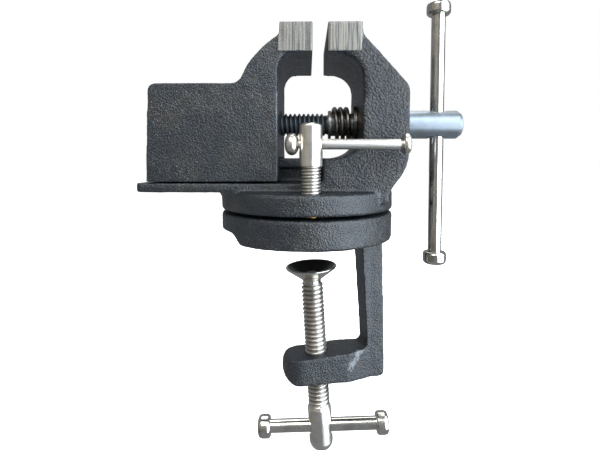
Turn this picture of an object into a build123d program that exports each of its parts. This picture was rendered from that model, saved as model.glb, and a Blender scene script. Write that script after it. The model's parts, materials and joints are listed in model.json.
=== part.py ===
from build123d import *
import os
from math import cos, pi, radians, sin, tan

# A small clamp-on swivel vise. The origin is on the swivel axis, on the flat underside of the
# lower disc, which is the face that sits on the table top. +Z is up, +X runs along the jaw
# slide towards the fixed jaw, and +Y points away from the side with the lock screw.

# ---- driving dimensions, millimetres -------------------------------------------------------
JAW_WIDTH = 50.0            # nominal size of the vise
JAW_TOP = 87.6
JAW_DEPTH = 11.2            # height of a gripping face
JAW_GAP = 6.0               # opening at rest
FIXED_FACE_X = 8.3          # gripping face of the fixed jaw
ARCH_LEFT_X = -11.1         # throat walls below the gripping faces, at rest
ARCH_RIGHT_X = 21.9
ARCH_RADIUS = 7.5
ARCH_SHOULDER_Z = 65.5      # the throat wall of the fixed jaw curves in from here
JAW_BACK_X = 40.6           # outer face of the fixed jaw, where the screw head bears

DISC_R = 37.9
LOWER_TOP = 12.1
LAND_Z = 12.5               # turned lands of the two discs meet here
LAND_R = 25.0
UPPER_BOTTOM = 12.9
UPPER_TOP = 21.6
RIM_ROUND = 0.8
LIP_Z = 4.4                 # underside of the lip over the table edge
LIP_X = -31.5
LIP_TOE_X = -24.5

BED_LEFT_X = -68.3
BED_BOTTOM = 21.1
BED_TOP = 25.2
BED_CORNER_R = 3.0
WEB_WIDTH = 12.0
RAIL_LEFT_X = -60.0
RAIL_TOP = 34.9
RAIL_NECK_Z = 31.0          # height where the neck widens into the head of the tee
RAIL_NECK_W = 24.0
RAIL_HEAD_W = 32.0
SLIDE_GAP = 0.15            # running clearance of the slide on every side

BOX_LEFT_X = -64.0
BOX_DRAFT = 1.4             # the left end leans in by this much towards the top
BOX_TOP = 64.5
BOX_WALL = 5.0
BOX_CORNER_R = 3.0
HOLLOW_R = 4.0
SCREW_CLEAR = 0.8           # room round the lead screw in the end wall of the box

SCREW_Z = 49.8              # axis of the lead screw
SCREW_D = 10.0
SCREW_PITCH = 2.0
SCREW_LEFT_X = -58.0
SPRING_LEFT_X = 10.7
SPRING_TURNS = 3.0
SPRING_WIRE = 1.9
SPRING_OD = 16.0
HEAD_D = 12.4
HEAD_RIGHT_X = 68.2
HEAD_CHAMFER = 1.4

BAR_X = 58.0                # handle bar of the lead screw, standing upright at rest
BAR_D = 6.0
BAR_BOTTOM = -13.0
BAR_TOP = 103.5
CAP_D = 10.3
CAP_L = 5.8
CAP_FLOOR = 1.5             # metal between the bar end and the outer face of its cap

LOCK_X = 1.7                # lock screw in front of the rail
LOCK_Y = -31.0
LOCK_D = 7.6
LOCK_PITCH = 1.25
LOCK_HEAD_D = 8.8
LOCK_HEAD_BOTTOM = 31.6
LOCK_HEAD_TOP = 48.0
LOCK_BAR_Z = 40.2
LOCK_BAR_D = 4.0
LOCK_BAR_RIGHT_X = 38.8
LOCK_KNOB_D = 8.4
LOCK_TRAVEL = 0.6           # screw travel from slack to tight

FRAME_YAW = 12.0            # the C frame stands turned about the swivel axis
CLAMP_LEAN = 3.5            # the clamp screw leans within the plane of the C frame
CLAMP_U = 1.2               # where the clamp axis would meet the table face
LEG_INNER_U = 23.9          # at the disc
LEG_OUTER_U = 34.9
LEG_INNER_LEAN = 3.6        # how far each side of the leg has leaned outwards at the arm
LEG_OUTER_LEAN = 1.6
LEG_STRAIGHT = 4.0          # the outer side stays upright for this much below the table face
LEG_WIDTH = 11.0
LEG_ROOT_Z = 2.0            # the leg starts inside the disc
ARM_W = -60.6               # middle of the arm, measured along the clamp axis
ARM_THICK = 13.0
ARM_WIDTH = 17.0
ARM_REACH = 16.3            # arm end beyond the clamp axis
ARM_UNDERCUT = 0.15         # the underside slopes the other way by this share of the top's slope
ARM_CORNER_R = 2.5
ARM_NOSE_R = 4.0
ARM_CHIN_R = 6.0
ARM_TAPER_U = 18.0          # the arm narrows to the leg between these two places
LEG_TAPER_U = 29.0
CLAMP_D = 10.0
CLAMP_PITCH = 2.0
PAD_TOP = -14.2
PAD_D = 23.4
PAD_NECK_D = 8.4
CLAMP_HEAD_D = 11.0
CLAMP_HEAD_TOP = -81.2
CLAMP_HEAD_BOTTOM = -101.8
CLAMP_BAR_W = -90.4
CLAMP_BAR_YAW = -1.2        # the bar stands turned a little about the clamp axis
CLAMP_BAR_LEFT = -29.4      # bar ends, measured from the clamp axis
CLAMP_BAR_RIGHT = 31.8

PAD_FLOOR = PAD_TOP - 4.6   # bottom of the dish
PAD_BOTTOM = -21.8
SPIGOT_D = 5.0              # end of the clamp screw inside the pad
COLLAR_H = 1.2
COLLAR_R = 3.9
PAD_FLOOR_R = 4.6
CLAMP_CONE = 2.6            # height of the shoulder cone above the head

PIVOT_D = 10.0              # shoulder of the pivot bolt
PIVOT_THREAD_D = 8.0
PIVOT_SEAT_D = 15.6
PIVOT_SEAT_Z = 24.0
PIVOT_HEAD_D = 13.5
PIVOT_HEAD_H = 6.9
PIVOT_KEY = 6.0             # hexagon socket, across flats
PIVOT_KEY_DEPTH = 3.7
PIVOT_TIP_Z = 5.0
PIVOT_WASHER_D = 15.0
NUT_FLAT = 17.0             # the lead nut is square
NUT_LEFT_X = -27.5
NUT_RIGHT_X = -14.0
GRUB_X = -20.8              # grub screw that holds the nut in the sliding jaw
GRUB_D = 5.0
GRUB_DEPTH = 1.5            # how far it reaches into the nut
GRUB_SLOT_W = 0.9
GRUB_SLOT_DEPTH = 1.2
CLIP_D = 12.6
CLIP_W = 1.1                # retaining ring that holds the spring on the screw
CLIP_DEPTH = 0.6            # of its groove
CLIP_GAP = 2.4
WASHER_W = 1.6
SPRING_SEAT_D = 16.5
THRUST_D = 17.0
SHOULDER_W = 1.3            # thrust washer under the screw head
SHOE_H = 1.2
SHOE_R = 3.0
SHOE_SPIGOT = 1.6           # height of the spigot
SHOE_SPIGOT_D = 3.0
LOCK_TIP = LOWER_TOP + LOCK_TRAVEL + SHOE_H
LOCK_CAP_W = 2.6
LOCK_REACH = LOCK_BAR_RIGHT_X - LOCK_X      # bar end from the lock axis
LOCK_KNOB_SEAT = LOCK_HEAD_D / 2 + 3.4      # blind hole of the knob, from the lock axis
LOCK_KNOB_NEAR = -LOCK_HEAD_D / 2 - 0.1
LOCK_KNOB_W = 5.4
LOCK_TAIL_STEP = 0.6        # the bar is turned down by this radius inside the knob
LOCK_NECK_STEP = 0.5        # and by this radius in front of its cap
LOCK_CAP_SEAT = 1.4
LOCK_CAP_R = 4.0

RUNNING = 0.05              # radial clearance of a turning or threaded fit
SLIP = 0.10                 # radial clearance of a bar in its cross hole
SEATED = 0.02               # radial gap of two pieces pressed together
OVERCUT = 5.0               # how far a cutting tool runs past the face it cuts

frame_turn = Rotation(0, 0, FRAME_YAW)
clamp_axis = frame_turn * Pos(CLAMP_U, 0, 0) * Rotation(0, -CLAMP_LEAN, 0)
clamp_bar_turn = Rotation(0, 0, CLAMP_BAR_YAW - FRAME_YAW) * Rotation(0, 90, 0)
clamp_bar_axis = clamp_axis * Pos(0, 0, CLAMP_BAR_W) * clamp_bar_turn
screw_axis = Pos(0, 0, SCREW_Z) * Rotation(0, 90, 0)
lock_axis = Pos(LOCK_X, LOCK_Y, 0)
lock_bar_axis = Pos(LOCK_X, LOCK_Y, LOCK_BAR_Z) * Rotation(0, 90, 0)


# ---- helpers -------------------------------------------------------------------------------
def outline(*points):
    """Closed flat face through the points, in the XY plane."""
    return make_face(Polyline(*points, close=True))


def turned(*points):
    """Solid of revolution about Z from a closed outline of (radius, height)."""
    return revolve(Plane.XZ * outline(*points), Axis.Z)


def across(face, width):
    """Solid with an X-Z outline and the given width, centred on Y = 0."""
    return extrude(Plane.XZ * face, width / 2, both=True)


def rod(diameter, low, high):
    """Plain round bar about Z."""
    return Pos(0, 0, (low + high) / 2) * Cylinder(diameter / 2, high - low)


def ring(outer, inner, low, high):
    return rod(outer, low, high) - rod(inner, low - OVERCUT, high + OVERCUT)


def slab(x0, x1, y0, y1, z0, z1):
    """Box between two corners."""
    middle = ((x0 + x1) / 2, (y0 + y1) / 2, (z0 + z1) / 2)
    return Pos(*middle) * Box(x1 - x0, y1 - y0, z1 - z0)


def thread_outline(diameter, pitch, low, high):
    """Outline points (radius, height) of grooves that stand in for a thread, low to high."""
    crest = diameter / 2
    root = crest - 0.55 * pitch
    turns = int((high - low) / pitch)
    points = []
    for turn in range(turns):
        base = low + turn * pitch
        points.append((crest, base))
        points.append((crest, base + 0.2 * pitch))
        points.append((root, base + 0.5 * pitch))
        points.append((root, base + 0.7 * pitch))
    points.append((crest, low + turns * pitch))
    return points


def end_cap(outward):
    """Handle cap with a blind seat for the bar end. Its outer face lies at height 0."""
    rim = CAP_D / 2
    seat = BAR_D / 2 + SEATED
    cap = turned(
        (0, 0), (rim - 1.6, 0), (rim - 0.5, -0.6), (rim, -1.8), (rim, 0.8 - CAP_L), (rim - 0.8, -CAP_L),
        (seat, -CAP_L), (seat, -CAP_FLOOR), (0, -CAP_FLOOR),
    )
    return cap if outward > 0 else Rotation(180, 0, 0) * cap


# ---- cast pieces ---------------------------------------------------------------------------
def clamp_frame():
    """Lower disc, leg and arm in one casting, with the threaded hole for the clamp screw."""
    disc = turned(
        (0, 0), (DISC_R - 1.2, 0), (DISC_R - 0.3, 0.4), (DISC_R, 1.2),
        (DISC_R, LOWER_TOP - RIM_ROUND), (DISC_R - RIM_ROUND, LOWER_TOP), (LAND_R, LOWER_TOP),
        (LAND_R, LAND_Z), (0, LAND_Z),
    )
    # the underside is cut back on the left, so that a lip overhangs the table edge
    outside = -DISC_R - OVERCUT
    lip = Line((outside, -OVERCUT), (outside, LIP_Z)) + Line((outside, LIP_Z), (LIP_X, LIP_Z))
    lip += Spline((LIP_X, LIP_Z), (-28.6, 3.2), (-26.6, 0.9), (LIP_TOE_X, 0.0))
    lip += Polyline((LIP_TOE_X, 0.0), (LIP_TOE_X, -OVERCUT), (outside, -OVERCUT))
    disc -= across(make_face(lip), 2 * DISC_R + OVERCUT)

    rise = tan(radians(CLAMP_LEAN))
    middle_u = CLAMP_U - ARM_W * sin(radians(CLAMP_LEAN))
    middle_z = ARM_W * cos(radians(CLAMP_LEAN))

    def arm_top(u):
        return middle_z + (u - middle_u) * rise + ARM_THICK / 2

    def arm_bottom(u):
        return middle_z - (u - middle_u) * ARM_UNDERCUT * rise - ARM_THICK / 2

    end_u = middle_u - ARM_REACH
    inner_u = LEG_INNER_U + LEG_INNER_LEAN
    outer_u = LEG_OUTER_U + LEG_OUTER_LEAN
    profile = outline(
        (LEG_INNER_U, LEG_ROOT_Z), (inner_u, arm_top(inner_u)), (end_u, arm_top(end_u)),
        (end_u, arm_bottom(end_u)), (outer_u, arm_bottom(outer_u)), (LEG_OUTER_U, -LEG_STRAIGHT),
        (LEG_OUTER_U, LEG_ROOT_Z),
    )
    corners = profile.vertices().filter_by(lambda v: v.X > end_u + 1 and v.Y < -LEG_STRAIGHT - 1)
    profile = fillet(corners, ARM_CORNER_R)
    for place, radius in ((-1, ARM_NOSE_R), (0, ARM_CHIN_R)):
        tip = profile.vertices().filter_by(lambda v: v.X < end_u + 0.1).sort_by(Axis.Y)[place]
        profile = fillet(tip, radius)
    half = ARM_WIDTH / 2
    narrow = LEG_WIDTH / 2
    plan = outline(
        (end_u + half, -half), (ARM_TAPER_U, -half), (LEG_TAPER_U, -narrow), (outer_u + 1, -narrow),
        (outer_u + 1, narrow), (LEG_TAPER_U, narrow), (ARM_TAPER_U, half), (end_u + half, half),
    )
    plan += Pos(end_u + half, 0) * Circle(half)
    limb = across(profile, ARM_WIDTH + OVERCUT) & Pos(0, 0, 2 * ARM_W) * extrude(plan, -3 * ARM_W)
    casting = disc + frame_turn * limb
    casting -= clamp_axis * rod(CLAMP_D + 2 * RUNNING, ARM_W - ARM_THICK, ARM_W + ARM_THICK)
    casting -= rod(PIVOT_THREAD_D, PIVOT_TIP_Z - 1, LAND_Z + OVERCUT)
    return casting


def rail(gap, x0, x1):
    """Tee rail along X. The gap enlarges it when it is used to cut the channel of the slide."""
    neck = RAIL_NECK_W / 2 + gap
    head = RAIL_HEAD_W / 2 + gap
    under = RAIL_NECK_Z - gap
    tee = outline(
        (-neck, BED_TOP - 1), (neck, BED_TOP - 1), (neck, under), (head, under),
        (head, RAIL_TOP + gap), (-head, RAIL_TOP + gap), (-head, under), (-neck, under),
    )
    return Pos(x0, 0, 0) * extrude(Plane.YZ * tee, x1 - x0)


def fixed_jaw():
    """Outline of the fixed jaw, from the gripping face over the back and down to the disc."""
    low = JAW_TOP - JAW_DEPTH
    shoulder = (38.6, 65.2)
    foot = (33.0, UPPER_BOTTOM + 4)
    toe = (ARCH_RIGHT_X - 15.9, RAIL_TOP)
    edge = Polyline((FIXED_FACE_X, low), (FIXED_FACE_X, JAW_TOP), (21.6, JAW_TOP), (22.4, 82.9), shoulder)
    edge += ThreePointArc(shoulder, (40.0, 63.2), (JAW_BACK_X, 60.8))
    edge += Line((JAW_BACK_X, 60.8), (JAW_BACK_X, 38.8))
    edge += Spline((JAW_BACK_X, 38.8), (40.2, 34.6), (39.1, 30.6), (37.0, 27.0), (34.6, 24.0), foot)
    edge += Polyline(foot, (toe[0], foot[1]), toe)
    edge += Spline(toe, (13.5, 35.4), (18.3, 37.2), (20.9, 39.3), (ARCH_RIGHT_X, RAIL_TOP + 6))
    edge += Line((ARCH_RIGHT_X, RAIL_TOP + 6), (ARCH_RIGHT_X, ARCH_SHOULDER_Z))
    edge += Spline(
        (ARCH_RIGHT_X, ARCH_SHOULDER_Z), (20.7, 70.6), (17.0, 74.2), (12.0, 75.9), (FIXED_FACE_X, low)
    )
    return make_face(edge)


def jaw_base():
    """Upper disc, bed plate, tee rail and fixed jaw in one casting."""
    rim = DISC_R - RIM_ROUND
    disc = turned(
        (0, LAND_Z), (LAND_R, LAND_Z), (LAND_R, UPPER_BOTTOM), (rim, UPPER_BOTTOM),
        (DISC_R, UPPER_BOTTOM + RIM_ROUND), (DISC_R, UPPER_TOP - RIM_ROUND), (rim, UPPER_TOP),
        (0, UPPER_TOP),
    )
    root_x = ARCH_RIGHT_X + 2
    bed = slab(BED_LEFT_X, root_x, -JAW_WIDTH / 2, JAW_WIDTH / 2, BED_BOTTOM, BED_TOP)
    bed = fillet(bed.edges().filter_by(Axis.Z).sort_by(Axis.X)[:2], BED_CORNER_R)
    casting = disc + bed + rail(0, RAIL_LEFT_X, root_x) + across(fixed_jaw(), JAW_WIDTH)
    # small web in the corner between the disc rim and the bed plate
    web_x = -DISC_R + 2
    web_z = UPPER_TOP - 3
    web = outline((web_x, web_z), (-DISC_R, web_z), (-DISC_R - 1.8, BED_BOTTOM), (web_x, BED_BOTTOM))
    casting += across(web, WEB_WIDTH)
    casting -= screw_axis * rod(SCREW_D + 2 * RUNNING, ARCH_RIGHT_X - OVERCUT, JAW_BACK_X + OVERCUT)
    # pivot bolt: shoulder bore, and a counterbore for head and washer below the rail top
    casting -= rod(PIVOT_D + 2 * RUNNING, LAND_Z - OVERCUT, RAIL_TOP)
    casting -= rod(PIVOT_SEAT_D, PIVOT_SEAT_Z, RAIL_TOP + OVERCUT)
    casting -= lock_axis * rod(LOCK_D + 2 * RUNNING, LAND_Z - OVERCUT, UPPER_TOP + OVERCUT)
    return casting


def sliding_jaw():
    """Hollow box body with the arched jaw, open at its left end, riding on the tee rail."""
    low = JAW_TOP - JAW_DEPTH
    grip_x = FIXED_FACE_X - JAW_GAP
    floor = BED_TOP + SLIDE_GAP
    top_x = BOX_LEFT_X + BOX_DRAFT
    bow = BOX_CORNER_R * (1 - cos(pi / 4))
    corner = ARCH_RADIUS * (1 - cos(pi / 4))
    neck = (-28.8, BOX_TOP)
    brow = (-10.8, 83.0)
    edge = Line((BOX_LEFT_X, floor), (top_x, BOX_TOP - BOX_CORNER_R))
    edge += ThreePointArc(
        (top_x, BOX_TOP - BOX_CORNER_R), (top_x + bow, BOX_TOP - bow), (top_x + BOX_CORNER_R, BOX_TOP)
    )
    edge += Line((top_x + BOX_CORNER_R, BOX_TOP), neck)
    edge += Spline(neck, (-26.6, 65.6), (-24.3, 69.7), (-20.3, 75.2), (-16.0, 79.4), brow)
    crown = (ARCH_LEFT_X + ARCH_RADIUS, low)
    edge += Polyline(brow, (-10.4, JAW_TOP), (grip_x, JAW_TOP), (grip_x, low), crown)
    edge += ThreePointArc(crown, (ARCH_LEFT_X + corner, low - corner), (ARCH_LEFT_X, low - ARCH_RADIUS))
    edge += Polyline((ARCH_LEFT_X, low - ARCH_RADIUS), (ARCH_LEFT_X, floor), (BOX_LEFT_X, floor))
    body = across(make_face(edge), JAW_WIDTH)
    # the hollow stays above the rail channel and leaves the screw wall at its right end
    inside = JAW_WIDTH / 2 - BOX_WALL
    hollow = slab(
        BOX_LEFT_X - OVERCUT, NUT_LEFT_X, -inside, inside, RAIL_TOP + BOX_WALL, BOX_TOP - BOX_WALL
    )
    body -= fillet(hollow.edges().filter_by(Axis.X), HOLLOW_R)
    body -= rail(SLIDE_GAP, BOX_LEFT_X - OVERCUT, ARCH_LEFT_X + OVERCUT)
    body -= screw_axis * rod(SCREW_D + 2 * SCREW_CLEAR, BOX_LEFT_X, ARCH_LEFT_X + OVERCUT)
    body -= screw_axis * nut_blank(SEATED, NUT_LEFT_X - OVERCUT, NUT_RIGHT_X)
    body -= grub_blank(GRUB_D, JAW_WIDTH)
    return body


# ---- lead screw group ----------------------------------------------------------------------
def nut_blank(gap, low, high):
    side = NUT_FLAT + 2 * gap
    return Pos(0, 0, (low + high) / 2) * Box(side, side, high - low)


def grub_blank(diameter, reach):
    """Blank of the grub screw that holds the nut, reaching in from the back of the box."""
    inner = NUT_FLAT / 2 - GRUB_DEPTH
    return Pos(GRUB_X, 0, SCREW_Z) * Rotation(-90, 0, 0) * rod(diameter, inner, reach)


def lead_nut():
    nut = screw_axis * nut_blank(0, NUT_LEFT_X, NUT_RIGHT_X)
    nut = chamfer(nut.edges().filter_by(Axis.X), 1.0)
    nut -= screw_axis * rod(SCREW_D + 2 * RUNNING, NUT_LEFT_X - OVERCUT, NUT_RIGHT_X + OVERCUT)
    nut -= grub_blank(GRUB_D, JAW_WIDTH)
    return nut


def nut_grub_screw():
    """Headless screw with a screwdriver slot, just below the back face of the box."""
    reach = JAW_WIDTH / 2 - 1
    slot = Pos(GRUB_X, reach, SCREW_Z) * Box(GRUB_SLOT_W, 2 * GRUB_SLOT_DEPTH, GRUB_D)
    return grub_blank(GRUB_D - 2 * SEATED, reach) - slot


def lead_screw():
    """Screw, journal and head in one bar, with the cross hole for the handle."""
    crest = SCREW_D / 2
    head = HEAD_D / 2
    groove = crest - CLIP_DEPTH
    shoulder = JAW_BACK_X + SHOULDER_W
    clip_x = SPRING_LEFT_X - CLIP_W
    points = [(0, SCREW_LEFT_X), (crest - 1.3, SCREW_LEFT_X)]
    points += thread_outline(SCREW_D, SCREW_PITCH, SCREW_LEFT_X + 1.2, clip_x - 1.0)
    points += [(crest, clip_x), (groove, clip_x), (groove, SPRING_LEFT_X), (crest, SPRING_LEFT_X)]
    points += [(crest, shoulder), (head, shoulder), (head, HEAD_RIGHT_X - HEAD_CHAMFER)]
    points += [(head - HEAD_CHAMFER, HEAD_RIGHT_X), (0, HEAD_RIGHT_X)]
    screw = screw_axis * turned(*points)
    return screw - Pos(BAR_X, 0, SCREW_Z) * rod(BAR_D + 2 * SLIP, -HEAD_D, HEAD_D)


def thrust_washer():
    return screw_axis * ring(THRUST_D, SCREW_D + 2 * SEATED, JAW_BACK_X, JAW_BACK_X + SHOULDER_W)


def spring_washer():
    washer = ring(SPRING_SEAT_D, SCREW_D + 2 * SEATED, ARCH_RIGHT_X - WASHER_W, ARCH_RIGHT_X)
    return screw_axis * washer


def spring_clip():
    """Retaining ring in the groove of the screw, with a gap at the top."""
    bore = SCREW_D - 2 * CLIP_DEPTH + 2 * SEATED
    clip = ring(CLIP_D, bore, SPRING_LEFT_X - CLIP_W, SPRING_LEFT_X)
    opening = slab(
        -CLIP_D, -2, -CLIP_GAP / 2, CLIP_GAP / 2, SPRING_LEFT_X - OVERCUT, SPRING_LEFT_X + OVERCUT
    )
    return screw_axis * (clip - opening)


def screw_spring():
    """Short stiff coil between the retaining ring and the washer."""
    low = SPRING_LEFT_X + SPRING_WIRE / 2
    high = ARCH_RIGHT_X - WASHER_W - SPRING_WIRE / 2
    mean = (SPRING_OD - SPRING_WIRE) / 2
    path = Pos(0, 0, low) * Helix(pitch=(high - low) / SPRING_TURNS, height=high - low, radius=mean)
    section = Plane(origin=path @ 0, z_dir=path % 0) * Circle(SPRING_WIRE / 2 - 0.02)
    return screw_axis * sweep(section, path=path, is_frenet=True)


def handle_bar():
    return Pos(BAR_X, 0, 0) * rod(BAR_D, BAR_BOTTOM + CAP_FLOOR, BAR_TOP - CAP_FLOOR)


def handle_cap(side):
    height = BAR_TOP if side > 0 else BAR_BOTTOM
    return Pos(BAR_X, 0, height) * end_cap(side)


# ---- lock screw group ----------------------------------------------------------------------
def lock_screw():
    crest = LOCK_D / 2
    head = LOCK_HEAD_D / 2
    socket = SHOE_SPIGOT_D / 2
    low = LOCK_TIP + SHOE_SPIGOT
    points = [(0, low), (socket, low), (socket, LOCK_TIP), (crest - 0.9, LOCK_TIP)]
    points += thread_outline(LOCK_D, LOCK_PITCH, LOCK_TIP + 0.6, LOCK_HEAD_BOTTOM - 0.4)
    points += [(crest, LOCK_HEAD_BOTTOM), (head, LOCK_HEAD_BOTTOM + 0.3), (head, LOCK_HEAD_TOP - 0.8)]
    points += [(head - 0.8, LOCK_HEAD_TOP), (0, LOCK_HEAD_TOP)]
    hole = rod(LOCK_BAR_D + 2 * SLIP, -LOCK_HEAD_D, LOCK_HEAD_D)
    return lock_axis * turned(*points) - lock_bar_axis * hole


def lock_shoe():
    """Soft tip under the lock screw. Its spigot sits in the end of the screw, free to turn."""
    tip = LOCK_TIP
    spigot = SHOE_SPIGOT_D / 2 - RUNNING
    end = tip + SHOE_SPIGOT - 0.1
    return lock_axis * turned(
        (0, tip - SHOE_H), (SHOE_R, tip - SHOE_H), (SHOE_R, tip), (spigot, tip), (spigot, end), (0, end)
    )


def lock_bar():
    """Thin bar with a turned-down neck in front of its flat cap."""
    full = LOCK_BAR_D / 2
    tail = full - LOCK_TAIL_STEP
    neck = full - LOCK_NECK_STEP
    start = LOCK_REACH - LOCK_CAP_W
    return lock_bar_axis * turned(
        (0, -LOCK_KNOB_SEAT), (tail, -LOCK_KNOB_SEAT), (tail, LOCK_KNOB_NEAR), (full, LOCK_KNOB_NEAR),
        (full, start - 1.0), (neck, start - 0.7), (neck, start + LOCK_CAP_SEAT), (0, start + LOCK_CAP_SEAT),
    )


def lock_bar_cap():
    neck = LOCK_BAR_D / 2 - LOCK_NECK_STEP + SEATED
    low = LOCK_REACH - LOCK_CAP_W
    return lock_bar_axis * turned(
        (neck, low), (LOCK_CAP_R - 0.5, low), (LOCK_CAP_R, low + 0.5), (LOCK_CAP_R, LOCK_REACH - 0.7),
        (LOCK_CAP_R - 0.9, LOCK_REACH), (0, LOCK_REACH), (0, low + LOCK_CAP_SEAT),
        (neck, low + LOCK_CAP_SEAT),
    )


def lock_bar_knob():
    """Flattened ball on the short end of the bar."""
    seat = LOCK_BAR_D / 2 - LOCK_TAIL_STEP + SEATED
    near = LOCK_KNOB_NEAR
    far = near - LOCK_KNOB_W
    shape = Line((seat, near), (2.4, near))
    shape += ThreePointArc((2.4, near), (LOCK_KNOB_D / 2, (near + far) / 2), (2.4, far + 0.3))
    shape += Polyline(
        (2.4, far + 0.3), (1.3, far), (0, far), (0, -LOCK_KNOB_SEAT), (seat, -LOCK_KNOB_SEAT), (seat, near)
    )
    return lock_bar_axis * revolve(Plane.XZ * make_face(shape), Axis.Z)


# ---- clamp screw group, in heights along the leaning clamp axis ------------------------------

def clamp_pad():
    """Dished swivel pad with a cone below it."""
    rim = PAD_D / 2
    neck = PAD_NECK_D / 2
    bore = SPIGOT_D / 2 + RUNNING
    return clamp_axis * turned(
        (bore, PAD_FLOOR), (PAD_FLOOR_R, PAD_FLOOR), (rim - 1.0, PAD_TOP), (rim - 0.3, PAD_TOP),
        (rim, PAD_TOP - 0.4), (rim - 0.4, PAD_TOP - 1.1), (neck + 0.6, PAD_BOTTOM + 1.7),
        (neck, PAD_BOTTOM + 1.0), (neck, PAD_BOTTOM), (bore, PAD_BOTTOM),
    )


def clamp_screw():
    crest = CLAMP_D / 2
    head = CLAMP_HEAD_D / 2
    spigot = SPIGOT_D / 2
    base = CLAMP_HEAD_BOTTOM
    top = PAD_BOTTOM - 0.1
    thread_top = top - 0.5
    turns = int((thread_top - CLAMP_HEAD_TOP - CLAMP_CONE) / CLAMP_PITCH)
    start = thread_top - turns * CLAMP_PITCH
    points = [(0, base), (2.4, base + 0.3), (4.2, base + 1.3), (head - 0.3, base + 3.0)]
    points += [(head, base + 4.6), (head, CLAMP_HEAD_TOP), (crest, start - 0.4)]
    points += thread_outline(CLAMP_D, CLAMP_PITCH, start, thread_top)
    points += [(crest - 0.9, top), (spigot, top), (spigot, PAD_FLOOR + COLLAR_H), (0, PAD_FLOOR + COLLAR_H)]
    screw = clamp_axis * turned(*points)
    return screw - clamp_bar_axis * rod(BAR_D + 2 * SLIP, -HEAD_D, HEAD_D)


def pad_collar():
    """Peened collar that keeps the pad on the spigot of the screw."""
    bore = SPIGOT_D / 2 + SEATED
    low = PAD_FLOOR + 0.1
    high = PAD_FLOOR + COLLAR_H
    return clamp_axis * turned(
        (bore, low), (COLLAR_R, low), (COLLAR_R, low + 0.5), (COLLAR_R - 0.8, high), (bore, high)
    )


def clamp_bar():
    return clamp_bar_axis * rod(BAR_D, CLAMP_BAR_LEFT + CAP_FLOOR, CLAMP_BAR_RIGHT - CAP_FLOOR)


def clamp_bar_cap(side):
    height = CLAMP_BAR_RIGHT if side > 0 else CLAMP_BAR_LEFT
    return clamp_bar_axis * Pos(0, 0, height) * end_cap(side)


# ---- pivot ---------------------------------------------------------------------------------
def pivot_bolt():
    """Shoulder bolt through the upper casting, screwed into the lower disc."""
    shoulder = PIVOT_D / 2
    shank = PIVOT_THREAD_D / 2 - SEATED
    rim = PIVOT_HEAD_D / 2
    seat = PIVOT_SEAT_Z + WASHER_W
    top = seat + PIVOT_HEAD_H
    bolt = turned(
        (0, PIVOT_TIP_Z), (shank - 0.8, PIVOT_TIP_Z), (shank, PIVOT_TIP_Z + 0.8), (shank, LAND_Z),
        (shoulder, LAND_Z), (shoulder, seat), (rim, seat), (rim, top - 0.7), (rim - 0.7, top), (0, top),
    )
    key = extrude(RegularPolygon(PIVOT_KEY / 2, 6, major_radius=False), PIVOT_HEAD_H)
    return bolt - Pos(0, 0, top - PIVOT_KEY_DEPTH) * key


def pivot_washer():
    low = PIVOT_SEAT_Z + SEATED
    return ring(PIVOT_WASHER_D, PIVOT_D + 2 * SEATED, low, PIVOT_SEAT_Z + WASHER_W)


NODES = {
    "clamp_frame": clamp_frame(),
    "jaw_base": jaw_base(),
    "sliding_jaw": sliding_jaw(),
    "lead_screw": lead_screw(),
    "lead_nut": lead_nut(),
    "nut_grub_screw": nut_grub_screw(),
    "thrust_washer": thrust_washer(),
    "spring_washer": spring_washer(),
    "screw_spring": screw_spring(),
    "spring_clip": spring_clip(),
    "handle_bar": handle_bar(),
    "handle_cap_top": handle_cap(1),
    "handle_cap_bottom": handle_cap(-1),
    "lock_screw": lock_screw(),
    "lock_shoe": lock_shoe(),
    "lock_bar": lock_bar(),
    "lock_bar_cap": lock_bar_cap(),
    "lock_bar_knob": lock_bar_knob(),
    "clamp_screw": clamp_screw(),
    "clamp_pad": clamp_pad(),
    "pad_collar": pad_collar(),
    "clamp_bar": clamp_bar(),
    "clamp_bar_cap_left": clamp_bar_cap(-1),
    "clamp_bar_cap_right": clamp_bar_cap(1),
    "pivot_bolt": pivot_bolt(),
    "pivot_washer": pivot_washer(),
}

os.makedirs("parts", exist_ok=True)
for name, shape in NODES.items():
    export_step(shape, "parts/" + name + ".step")
    print(name, round(shape.volume, 1), shape.is_valid)
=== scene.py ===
"""Clamp-on swivel vise: castings, screws, bars and finishes, built round the fixed frame."""

import json
import math
from functools import partial

import bmesh
import bpy
import numpy as np
from bpy.props import FloatProperty, IntProperty, PointerProperty, StringProperty
from bpy.types import Operator, Panel, PropertyGroup
from mathutils import Matrix, Vector

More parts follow.
